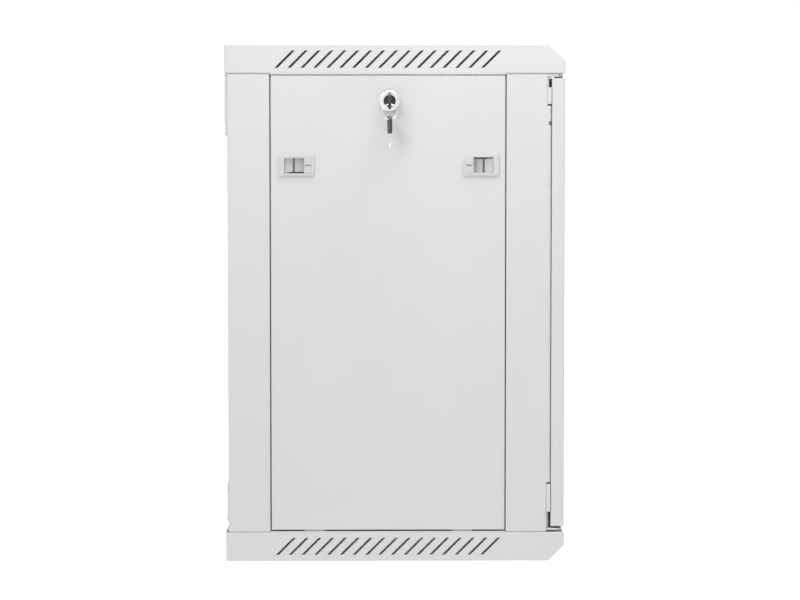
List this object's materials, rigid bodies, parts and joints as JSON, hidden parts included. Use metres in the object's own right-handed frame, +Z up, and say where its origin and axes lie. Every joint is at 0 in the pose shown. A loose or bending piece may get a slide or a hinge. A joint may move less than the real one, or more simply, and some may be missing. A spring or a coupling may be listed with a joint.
{
  "type": "rack cabinet",
  "caption": "Wall-mounting 19 inch equipment cabinet with glazed front door, removable latched side panels and slotted covers.",
  "frame": {"origin": "middle of the underside of the bottom cover", "axes": "+Z up, -Y out of the front door, +X to the right seen from the front"},
  "size_m": [0.6355, 0.504, 0.769],
  "materials": {
    "light_grey_powder_coat": "fine textured powder coat, light grey",
    "zinc_plated_steel": "bright zinc plate",
    "tempered_glass": "clear tempered glass, slightly grey",
    "black_rubber": "matt",
    "chrome": "polished",
    "key_steel": "nickel-plated",
    "light_grey_plastic": "satin moulded plastic",
    "dark_plastic": "satin moulded plastic",
    "blackened_steel": "chemically blackened",
    "spring_steel": "drawn wire",
    "brass": "plain"
  },
  "bodies": {
    "cabinet": {"top_cover": "light_grey_powder_coat", "bottom_cover": "light_grey_powder_coat", "cable_entry_plates": "light_grey_powder_coat", "front_lintel": "light_grey_powder_coat", "front_sill": "light_grey_powder_coat", "rear_panel": "light_grey_powder_coat", "wall_bracket_upper": "light_grey_powder_coat", "wall_bracket_lower": "light_grey_powder_coat", "hinge_leaf_upper": "light_grey_powder_coat", "hinge_leaf_lower": "light_grey_powder_coat", "rack_rail_bolts": "zinc_plated_steel", "frame_screws": "zinc_plated_steel", "door_keeper": "zinc_plated_steel", "rear_entry_trim": "black_rubber", "earth_stud": "brass", "front_post_left": "light_grey_powder_coat", "rear_post_left": "light_grey_powder_coat", "upper_side_rail_left": "light_grey_powder_coat", "lower_side_rail_left": "light_grey_powder_coat", "depth_rail_lower_left": "zinc_plated_steel", "depth_rail_upper_left": "zinc_plated_steel", "rack_rail_front_left": "zinc_plated_steel", "rack_rail_rear_left": "zinc_plated_steel", "front_post_right": "light_grey_powder_coat", "rear_post_right": "light_grey_powder_coat", "upper_side_rail_right": "light_grey_powder_coat", "lower_side_rail_right": "light_grey_powder_coat", "depth_rail_lower_right": "zinc_plated_steel", "depth_rail_upper_right": "zinc_plated_steel", "rack_rail_front_right": "zinc_plated_steel", "rack_rail_rear_right": "zinc_plated_steel"},
    "door": {"door_frame": "light_grey_powder_coat", "door_glass": "tempered_glass", "glass_gasket": "black_rubber", "glass_clips": "zinc_plated_steel", "hinge_bushes": "dark_plastic", "hinge_spring": "spring_steel", "door_lock_body": "chrome"},
    "door_lock": {"door_lock_plug": "blackened_steel", "door_lock_cam": "zinc_plated_steel"},
    "hinge_pin": {"upper_hinge_pin": "chrome"},
    "key": {"key": "dark_plastic"},
    "key_ring": {"key_ring": "chrome"},
    "spare_key": {"spare_key": "dark_plastic"},
    "side_panel_left": {"side_panel_left": "light_grey_powder_coat", "side_lock_body_left": "chrome", "latch_housing_left_front": "light_grey_plastic", "latch_housing_left_rear": "light_grey_plastic"},
    "side_lock_left": {"side_lock_plug_left": "blackened_steel", "side_lock_cam_left": "zinc_plated_steel"},
    "latch_slider_left_front": {"latch_slider_left_front": "light_grey_plastic"},
    "latch_slider_left_rear": {"latch_slider_left_rear": "light_grey_plastic"},
    "side_panel_right": {"side_panel_right": "light_grey_powder_coat", "side_lock_body_right": "chrome", "latch_housing_right_front": "light_grey_plastic", "latch_housing_right_rear": "light_grey_plastic"},
    "side_lock_right": {"side_lock_plug_right": "blackened_steel", "side_lock_cam_right": "zinc_plated_steel"},
    "latch_slider_right_front": {"latch_slider_right_front": "light_grey_plastic"},
    "latch_slider_right_rear": {"latch_slider_right_rear": "light_grey_plastic"}
  },
  "joints": [
    {"name": "door_hinge", "type": "hinge", "parent": "cabinet", "child": "door", "pos_m": [-0.29, -0.242, 0.385], "axis": [0, 0, -1], "range_deg": [0, 180]},
    {"name": "door_lock_turn", "type": "hinge", "parent": "door", "child": "door_lock", "pos_m": [0.268, -0.2517, 0.385], "axis": [0, 1, 0], "range_deg": [0, 90]},
    {"name": "hinge_pin_slide", "type": "slide", "parent": "door", "child": "hinge_pin", "axis": [0, 0, -1], "range_m": [0, 0.008], "stiffness_N_per_m": 600, "springref_m": -0.008, "deforming": ["hinge_spring"]},
    {"name": "side_panel_tilt_left", "type": "hinge", "parent": "cabinet", "child": "side_panel_left", "pos_m": [-0.2995, 0.01, 0.047], "axis": [0, -1, 0], "range_deg": [0, 30]},
    {"name": "side_lock_turn_left", "type": "hinge", "parent": "side_panel_left", "child": "side_lock_left", "pos_m": [-0.2995, 0.0079, 0.6852], "axis": [1, 0, 0], "range_deg": [0, 90]},
    {"name": "latch_slide_left_front", "type": "slide", "parent": "side_panel_left", "child": "latch_slider_left_front", "axis": [0, -1, 0], "range_m": [0, 0.006]},
    {"name": "latch_slide_left_rear", "type": "slide", "parent": "side_panel_left", "child": "latch_slider_left_rear", "axis": [0, 1, 0], "range_m": [0, 0.006]},
    {"name": "side_panel_tilt_right", "type": "hinge", "parent": "cabinet", "child": "side_panel_right", "pos_m": [0.2995, 0.01, 0.047], "axis": [0, 1, 0], "range_deg": [0, 30]},
    {"name": "side_lock_turn_right", "type": "hinge", "parent": "side_panel_right", "child": "side_lock_right", "pos_m": [0.2995, 0.0079, 0.6852], "axis": [1, 0, 0], "range_deg": [0, 90]},
    {"name": "latch_slide_right_front", "type": "slide", "parent": "side_panel_right", "child": "latch_slider_right_front", "axis": [0, -1, 0], "range_m": [0, 0.006]},
    {"name": "latch_slide_right_rear", "type": "slide", "parent": "side_panel_right", "child": "latch_slider_right_rear", "axis": [0, 1, 0], "range_m": [0, 0.006]},
    {"name": "key_withdraw", "type": "slide", "parent": "side_lock_left", "child": "key", "axis": [-1, 0, 0], "range_m": [0, 0.03]},
    {"name": "key_ring_swing", "type": "hinge", "parent": "key", "child": "key_ring", "pos_m": [-0.3215, 0.0079, 0.6796], "axis": [0, 1, 0], "range_deg": [0, 60]},
    {"name": "spare_key_swing", "type": "hinge", "parent": "key_ring", "child": "spare_key", "pos_m": [-0.3215, 0.0079, 0.6576], "axis": [0, 1, 0], "range_deg": [0, 45]}
  ]
}
